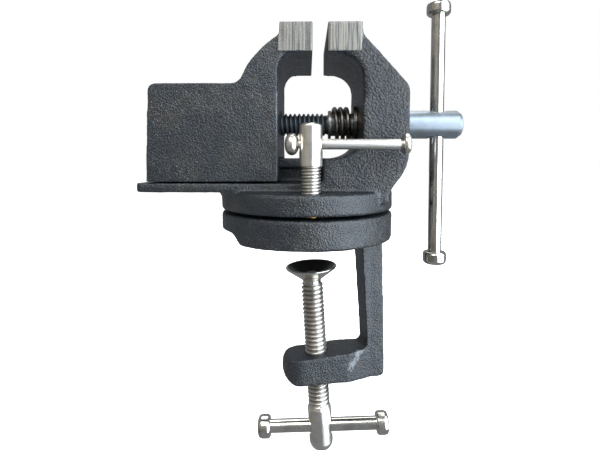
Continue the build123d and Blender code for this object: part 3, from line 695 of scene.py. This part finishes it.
class VISE_OT_jaw_base(Operator):
    """Upper disc, bed plate, tee rail and fixed jaw in one casting"""

    bl_idname = "vise.jaw_base"
    bl_label = "Fixed jaw casting"

    def execute(self, context):
        def machined(co):
            rail = in_box(co, (-61, -16.6, 25.6), (9, 16.6, 35.2))
            screw_bearing = round_axis(co, LEAD, 5.7, 21, 42)
            pivot_pocket = round_axis(co, PIVOT, 8.4, 12, 36)
            land = round_axis(co, PIVOT, LAND_RADIUS, 12.2, 12.9)
            lock_hole = round_axis(co, LOCK, 4.5)
            return rail | ground_sides(co) | screw_bearing | pivot_pocket | land | lock_hole

        def fixed_jaw(co):
            return (co[:, 0] > 0.012) & (co[:, 2] > 0.0225)

        def true_up(co):
            co[:, 2] = np.maximum(co[:, 2], LAND_HEIGHT + CLEARANCE)
            face = (co[:, 2] > THROAT_TOP) & (co[:, 0] < FIXED_FACE + 0.002)
            co[face, 0] = np.maximum(co[face, 0], FIXED_FACE)

        sizes = context.scene.vise_sizes
        grain = LARGE * sizes.grain
        cast("jaw_base_casting", "jaw_base", grain, sizes, machined, fixed_jaw, true_up)
        return {"FINISHED"}


class VISE_OT_sliding_jaw(Operator):
    """Hollow box body with the sliding jaw"""

    bl_idname = "vise.sliding_jaw"
    bl_label = "Sliding jaw casting"

    def execute(self, context):
        def machined(co):
            slideway = in_box(co, (-70, -16.9, 25), (-9, 16.9, 35.8))
            nut_seat = in_box(co, (-28.5, -9.2, 40), (-13.5, 9.2, 59.5))
            screw_way = round_axis(co, LEAD, 6.4)
            grub_hole = in_box(co, (-24, 8, 46), (-17.6, 26, 53.5))
            return slideway | ground_sides(co) | nut_seat | screw_way | grub_hole

        def true_up(co):
            face = (co[:, 2] > THROAT_TOP) & (co[:, 0] > SLIDING_FACE - 0.002)
            co[face, 0] = np.minimum(co[face, 0], SLIDING_FACE)

        sizes = context.scene.vise_sizes
        cast("sliding_jaw_casting", "sliding_jaw", sizes.grain, sizes, machined, true_up=true_up)
        return {"FINISHED"}


# ---- screws: outlines are (radius, height) points in mm ---------------------------------------
def cross_hole(bore, mouth, bore_half, mouth_from, half_length):
    """Cutter for a sliding bar's hole: a bore that opens into a wider mouth at each side."""
    half = [(bore, bore_half), (mouth, mouth_from), (mouth, half_length), (0, half_length)]
    return turned([(radius, -height) for radius, height in reversed(half)] + half)


def thread_root_shade(item, place, crest, depth, low, high):
    """Painted shade in the thread roots, darker where the root is deeper."""
    reach, height = axial(coordinates(item.data), place)
    inside = (height > low) & (height < high)
    grime_and_shade(item, np.where(inside, (crest - reach) / depth, 0))


class VISE_OT_lead_screw(Operator):
    """Lead screw with its head and washers"""

    bl_idname = "vise.lead_screw"
    bl_label = "Lead screw group"

    def execute(self, context):
        edge = context.scene.vise_sizes.edge
        low, high = (corner.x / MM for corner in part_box("lead_screw"))
        clip_low, spring_low = (corner.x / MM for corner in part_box("spring_clip"))
        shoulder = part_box("thrust_washer")[1].x / MM
        pitch, crest, depth = 2.0, 5.0, 1.1
        thread_end = clip_low - 0.8
        thread = threaded(crest, pitch, depth, low, thread_end)
        run_out(thread, crest, low, thread_end, 1.1)
        item = as_object("lead_screw_turned", thread)
        shank = turned([
            (0, clip_low - 2.0), (3.7, clip_low - 2.0), (4.4, clip_low - 0.2), (4.4, spring_low),
            (crest, spring_low), (crest, shoulder + 1.0), (0, shoulder + 1.0),
        ])
        combine(item, shank, Matrix.Identity(4), "UNION")
        head = broken_edges(turned([
            (0, shoulder), (6.2, shoulder), (6.2, high - 1.7), (5.8, high - 1.6), (5.0, high - 0.2),
            (4.7, high), (0, high),
        ]), edge)
        combine(item, head, Matrix.Identity(4), "UNION")
        item.data.transform(LEAD)
        hole = cross_hole(3.1, 4.2, 5.2, 6.1, 9)
        centre_line = Vector((centre("handle_bar").x, 0, centre("lead_screw").z))
        combine(item, hole, along(centre_line, (0, 0, 1)), "DIFFERENCE")
        reach, height = axial(coordinates(item.data), LEAD)
        # the threaded part is darker as oiled steel, and its roots get painted shade on top of that
        oily = np.where(height < shoulder - 0.2, 0.55, 0.0)
        root = np.where(height < thread_end, (crest - reach) / depth, 0)
        grime_and_shade(item, oily + 0.45 * np.clip(root, 0, 1))
        settle(item, "zinc_steel", "lead_screw")

        for node, outer, bore in (("thrust_washer", 8.5, 5.05), ("spring_washer", 8.2, 5.05)):
            start, end = (corner.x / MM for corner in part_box(node))
            ring = [(bore, start), (outer, start), (outer, end), (bore, end), (bore, start)]
            slot = "zinc_steel" if node == "thrust_washer" else "oiled_steel"
            turned_piece(node + "_turned", node, slot, ring, LEAD, 0.2)
        return {"FINISHED"}


class VISE_OT_spring(Operator):
    """Coil spring with closed ends"""

    bl_idname = "vise.spring"
    bl_label = "Screw spring"

    def execute(self, context):
        start, end = (corner.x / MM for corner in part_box("screw_spring"))
        wire, mean = 0.93, 7.05         # radii of the wire and of the coil
        turns, steps = 3, 56
        rise = end - start - 2 * wire
        bm = bmesh.new()
        ring = bmesh.ops.create_circle(bm, segments=18, radius=wire)["verts"]
        upright = Matrix.Rotation(math.radians(90), 4, "X")
        first_turn = Matrix.Translation((mean, 0, start + wire)) @ upright
        bmesh.ops.transform(bm, matrix=first_turn, verts=ring)
        first = bm.edges[:]
        bmesh.ops.spin(
            bm, geom=ring + first, cent=(0, 0, 0), axis=(0, 0, 1), dvec=(0, 0, rise / (turns * steps)),
            angle=math.tau * turns, steps=turns * steps,
        )
        bmesh.ops.holes_fill(bm, edges=[e for e in bm.edges if e.is_boundary])
        bmesh.ops.recalc_face_normals(bm, faces=bm.faces)
        item = as_object("spring_coil", bm)
        item.data.transform(LEAD)
        reach, _ = axial(coordinates(item.data), LEAD)
        # painted shade: the coil is darker on its inner side, toward the screw, where shade falls
        grime_and_shade(item, 0.4 * (mean + 0.3 * wire - reach) / (1.6 * wire))
        settle(item, "oiled_steel", "screw_spring")
        return {"FINISHED"}


class VISE_OT_lock_screw(Operator):
    """Lock screw with its small bar, cap and knob"""

    bl_idname = "vise.lock_screw"
    bl_label = "Lock screw group"

    def execute(self, context):
        edge = context.scene.vise_sizes.edge
        base = JOINTS["lock_turn"]["pos_m"][2] / MM
        low, high = (corner.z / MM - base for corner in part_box("lock_screw"))
        bar_height = centre("lock_bar").z / MM - base
        neck, crest, pitch, depth = bar_height - 8.6, 3.8, 1.25, 0.62
        thread = threaded(crest, pitch, depth, low, neck + 0.5)
        run_out(thread, crest, low, neck + 9, 0.8)
        item = as_object("lock_screw_turned", thread)
        head = broken_edges(turned([
            (0, neck - 0.4), (3.5, neck - 0.4), (4.4, neck + 0.3), (4.4, high - 0.8), (3.4, high),
            (0, high),
        ]), edge)
        combine(item, head, Matrix.Identity(4), "UNION")
        item.data.transform(LOCK)
        combine(item, cross_hole(2.1, 2.9, 3.7, 4.5, 6), LOCK_BAR, "DIFFERENCE")
        thread_root_shade(item, LOCK, crest, depth * 1.1, low, neck)
        settle(item, "nickel_steel", "lock_screw", finish="satin_nickel")

        def span(node):
            return [(corner.x - LOCK_BAR.translation.x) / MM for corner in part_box(node)]

        start, end = span("lock_bar")
        bar = [
            (0, start), (1.4, start), (1.4, -4.4), (2, -4.4), (2, end - 2.4), (1.5, end - 2.1),
            (1.5, end), (0, end),
        ]
        turned_piece(
            "lock_bar_turned", "lock_bar", "nickel_steel", bar, LOCK_BAR, 0.12, "satin_bar",
        )
        start, end = span("lock_bar_cap")
        cap = [
            (0, start), (3.5, start), (4, start + 0.5), (4, end - 0.7), (3.1, end), (1.6, end - 0.12),
            (0, end - 0.12),
        ]
        turned_piece(
            "lock_bar_cap_turned", "lock_bar_cap", "nickel_steel", cap, LOCK_BAR, 0.2, "satin_nickel",
        )
        start, end = span("lock_bar_knob")
        half = (end - start) / 2
        radius, fullness = 4.2, 0.86    # a power below 1 flattens the poles of the knob
        ball = [(0, start)]
        for step in range(1, 20):
            angle = math.pi * step / 20
            height = start + half - half * math.cos(angle)
            ball.append((radius * math.sin(angle) ** fullness, height))
        ball.append((0, end))
        knob = as_object("lock_bar_knob_turned", turned(ball))
        knob.data.transform(LOCK_BAR)
        settle(knob, "nickel_steel", "lock_bar_knob", smooth_angle=60, finish="satin_nickel")
        return {"FINISHED"}


class VISE_OT_clamp_screw(Operator):
    """Clamp screw with its dished pad and collar"""

    bl_idname = "vise.clamp_screw"
    bl_label = "Clamp screw group"

    def execute(self, context):
        edge = context.scene.vise_sizes.edge
        # heights in mm along the screw, from the joint's own place
        base, bar_height, head_top, top, spigot_top = -101.8, -90.4, -81.2, -21.9, -17.6
        crest, pitch, depth = 5.0, 2.0, 1.05
        thread = threaded(crest, pitch, depth, head_top + 1.4, top)
        run_out(thread, crest, head_top - 9, top, 0.9)
        item = as_object("clamp_screw_turned", thread)
        head_radius, dome = 5.5, 4.6
        round_end = [(0, base)]
        for step in range(1, 13):
            angle = math.pi / 2 * step / 12
            height = base + dome * (1 - math.cos(angle))
            round_end.append((head_radius * math.sin(angle) ** 0.8, height))
        head = broken_edges(turned(round_end + [
            (head_radius, head_top), (3.9, head_top + 3.2), (0, head_top + 3.2),
        ]), 0.3, 20)
        combine(item, head, Matrix.Identity(4), "UNION")
        spigot = turned([(0, top - 1), (2.5, top - 1), (2.5, spigot_top), (0, spigot_top)])
        combine(item, spigot, Matrix.Identity(4), "UNION")
        item.data.transform(CLAMP)
        cross = along(CLAMP @ Vector((0, 0, bar_height)), JOINTS["clamp_bar_slide"]["axis"])
        combine(item, cross_hole(3.2, 4.7, 3.6, 4.9, 9), cross, "DIFFERENCE")
        thread_root_shade(item, CLAMP, crest, depth * 1.1, head_top + 0.6, top)
        settle(item, "nickel_steel", "clamp_screw", finish="satin_nickel")

        # a dish: its floor, its sloping side up to the rim, and its underside down to the socket
        bore, floor, foot, rim, mouth = 2.55, -18.8, 4.6, -14.2, 10.7
        pad = [
            (bore, floor), (foot, floor), (mouth, rim), (11.4, rim), (11.7, -14.6), (11.3, -15.3),
            (4.8, -20.1), (4.2, -20.8), (4.2, -21.8), (bore, -21.8), (bore, floor),
        ]
        dish = turned_piece("clamp_pad_turned", "clamp_pad", "nickel_steel", pad, CLAMP, 0.15)
        # the inside of the dish is made near black through the same attribute
        reach, height = axial(coordinates(dish.data), CLAMP)
        slope = floor + (reach - foot) * (rim - floor) / (mouth - foot)
        inside = (height > slope - 0.35) & (reach < mouth + 0.05) & (height > floor - 0.2)
        grime_and_shade(dish, np.where(inside, 1.15, 0.0))
        collar = [
            (2.52, -18.7), (3.9, -18.7), (3.9, -18.2), (3.1, spigot_top), (2.52, spigot_top),
            (2.52, -18.7),
        ]
        turned_piece("pad_collar_turned", "pad_collar", "oiled_steel", collar, CLAMP, 0.12)
        return {"FINISHED"}


class VISE_OT_bars(Operator):
    """Sliding bars of the lead screw and the clamp screw, with their end caps"""

    bl_idname = "vise.bars"
    bl_label = "Bars and caps"

    def execute(self, context):
        edge = context.scene.vise_sizes.edge
        radius, cap_length, floor, rim = 3, 5.8, 1.5, 5.15
        low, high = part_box("handle_bar")
        handle_half, clamp_half = (high.z - low.z) / MM / 2, 29.1
        groups = (
            (
                "handle_bar", HANDLE, handle_half, ("handle_cap_bottom", "handle_cap_top"),
                "nickel_steel",
            ),
            (
                "clamp_bar", CLAMP_BAR, clamp_half, ("clamp_bar_cap_left", "clamp_bar_cap_right"),
                "level_bar",
            ),
        )
        for bar, place, half, caps, finish in groups:
            rod = [(0, -half), (radius, -half), (radius, half), (0, half)]
            turned_piece(bar + "_turned", bar, "nickel_steel", rod, place, edge, finish)
            for side, cap in zip((-1, 1), caps):
                face = half + floor
                shape = [
                    (0, face - 0.15), (1.8, face - 0.15), (2.6, face), (3.7, face - 0.15),
                    (4.75, face - 0.75), (rim, face - 1.9), (rim, face - cap_length + 0.9),
                    (4.5, face - cap_length), (3.0, face - cap_length), (0, face - cap_length + 0.2),
                ]
                item = as_object(cap + "_turned", broken_edges(turned(shape), edge, 14))
                if side < 0:
                    item.data.transform(Matrix.Rotation(math.pi, 4, "X"))
                item.data.transform(place)
                settle(item, "nickel_steel", cap, finish=finish)
        return {"FINISHED"}


class VISE_OT_small_parts(Operator):
    """Finishes of the carried-over pieces: nut, grub screw, ring, shoe, bolt and washer"""

    bl_idname = "vise.small_parts"
    bl_label = "Small parts"

    def execute(self, context):
        slots = {
            "lead_nut": "brass", "nut_grub_screw": "black_steel", "spring_clip": "oiled_steel",
            "lock_shoe": "brass", "pivot_bolt": "black_steel", "pivot_washer": "zinc_steel",
        }
        for node, slot in slots.items():
            item = frame["nodes"][node]
            if item.material_slots:
                for place in item.material_slots:
                    place.material = MATERIALS[slot]
            else:
                item.data.materials.append(MATERIALS[slot])
        return {"FINISHED"}


# ---- stage -----------------------------------------------------------------------------------
def facing(place, aim):
    """Turn that points local -Z from the place to the aim."""
    return (Vector(aim) - Vector(place)).to_track_quat("-Z", "Y")


def soft_box(name, place, aim, size, power, colour):
    """Rectangular area light that the camera doesn't see."""
    light = bpy.data.lights.new(name, "AREA")
    light.shape = "RECTANGLE"
    light.size, light.size_y = size
    light.energy = power
    light.color = linear(colour)[:3]
    item = bpy.data.objects.new(name, light)
    bpy.context.scene.collection.objects.link(item)
    item.location = place
    item.rotation_euler = facing(place, aim).to_euler()
    item.visible_camera = False


def plain(item, name, shade, rough, glow=0.0):
    """Even finish for a piece of the stage."""
    material = bpy.data.materials.new(name)
    material.use_nodes = True
    shader = material.node_tree.nodes["Principled BSDF"]
    shader.inputs["Base Color"].default_value = linear(shade)
    shader.inputs["Roughness"].default_value = rough
    shader.inputs["Emission Color"].default_value = linear(shade)
    shader.inputs["Emission Strength"].default_value = glow
    item.data.materials.append(material)


def card(name, place, aim, width, height, shade):
    """Dark card that only shows in the bright metal."""
    bm = bmesh.new()
    bmesh.ops.create_grid(bm, x_segments=1, y_segments=1, size=0.5)
    bmesh.ops.scale(bm, vec=(width, height, 1), verts=bm.verts)
    turn = facing(place, aim).to_matrix().to_4x4()
    bmesh.ops.transform(bm, matrix=Matrix.Translation(place) @ turn, verts=bm.verts)
    item = as_object(name, bm)
    item.visible_camera = False
    item.visible_shadow = False
    item.visible_diffuse = False
    plain(item, name, shade, 1.0)


class VISE_OT_stage(Operator):
    """Pale floor, studio light and camera"""

    bl_idname = "vise.stage"
    bl_label = "Stage"

    def execute(self, context):
        scene = context.scene
        scene.view_settings.view_transform = "Standard"
        world = bpy.data.worlds.new("studio")
        scene.world = world
        world.use_nodes = True
        world.node_tree.nodes.clear()
        put = partial(add, world.node_tree)
        # white backdrop for the camera, and a dim room for light and reflections
        seen = put("ShaderNodeLightPath").outputs["Is Camera Ray"]
        shade = put("ShaderNodeMix", {0: seen, 6: linear("#85898E"), 7: linear("#FFFFFF")}, **COLOUR)
        room = put("ShaderNodeBackground", {"Color": shade, "Strength": 1.0})
        put("ShaderNodeOutputWorld", {"Surface": room})

        bm = bmesh.new()
        bmesh.ops.create_circle(bm, cap_ends=True, segments=96, radius=4.0)
        bmesh.ops.translate(bm, vec=(0, 0, CAD_BOX[0].z - 0.0005), verts=bm.verts)
        floor = as_object("studio_floor", bm)
        floor.visible_glossy = False
        plain(floor, "pale studio floor", scene.vise_colours.floor, 0.9, glow=0.9)

        # name, place, width and height in metres, power in watts, colour
        middle = (0, 0, 0.01)
        for name, place, size, power, colour in (
            ("key", (0.50, -0.36, 0.12), (0.80, 1.30), 23.0, "#E8F3FF"),
            ("front", (-0.20, -0.40, 0.50), (0.45, 0.30), 2.8, "#FFFFFF"),
            ("left", (-0.60, -0.22, 0.10), (0.20, 0.80), 2.0, "#FFF4E6"),
            ("back", (0.00, 0.30, 0.70), (0.60, 0.60), 4.0, "#FFFFFF"),
        ):
            soft_box(name, place, middle, size, power, colour)
        card("left_card", (-0.42, -0.36, 0.05), middle, 0.84, 1.0, "#66615A")

        data = bpy.data.cameras.new("camera")
        data.sensor_width = 36.0
        data.lens = 24.96
        data.shift_y = -0.0733
        data.clip_start = 0.005
        camera = bpy.data.objects.new("camera", data)
        scene.collection.objects.link(camera)
        camera.location = (0.0006, -0.188, 0.0351)
        camera.rotation_euler = (math.radians(90 - 3.2), 0, math.radians(1.1))
        scene.camera = camera
        return {"FINISHED"}


class VISE_PT_panel(Panel):
    """Sizes, colours and makers of the vise, in the 3D view's sidebar"""

    bl_label = "Swivel vise"
    bl_idname = "VISE_PT_panel"
    bl_space_type = "VIEW_3D"
    bl_region_type = "UI"
    bl_category = "Vise"

    def draw(self, context):
        layout = self.layout
        for group in (context.scene.vise_sizes, context.scene.vise_colours):
            column = layout.column()
            for name in group.__annotations__:
                column.prop(group, name)
        for operator in OPERATORS:
            layout.operator(operator.bl_idname)


OPERATORS = (
    VISE_OT_clamp_frame, VISE_OT_jaw_base, VISE_OT_sliding_jaw, VISE_OT_lead_screw,
    VISE_OT_spring, VISE_OT_lock_screw, VISE_OT_clamp_screw, VISE_OT_bars, VISE_OT_small_parts,
    VISE_OT_stage,
)
CLASSES = (ViseSizes, ViseColours, *OPERATORS, VISE_PT_panel)


def register():
    for item in CLASSES:
        bpy.utils.register_class(item)
    bpy.types.Scene.vise_sizes = PointerProperty(type=ViseSizes)
    bpy.types.Scene.vise_colours = PointerProperty(type=ViseColours)


def unregister():
    del bpy.types.Scene.vise_colours
    del bpy.types.Scene.vise_sizes
    for item in reversed(CLASSES):
        bpy.utils.unregister_class(item)


def main():
    register()
    scene = bpy.context.scene
    MATERIALS.update(make_materials(scene.vise_colours))
    bpy.ops.vise.clamp_frame()
    bpy.ops.vise.jaw_base()
    bpy.ops.vise.sliding_jaw()
    bpy.ops.vise.lead_screw()
    bpy.ops.vise.spring()
    bpy.ops.vise.lock_screw()
    bpy.ops.vise.clamp_screw()
    bpy.ops.vise.bars()
    bpy.ops.vise.small_parts()
    bpy.ops.vise.stage()


if __name__ == "__main__":
    main()
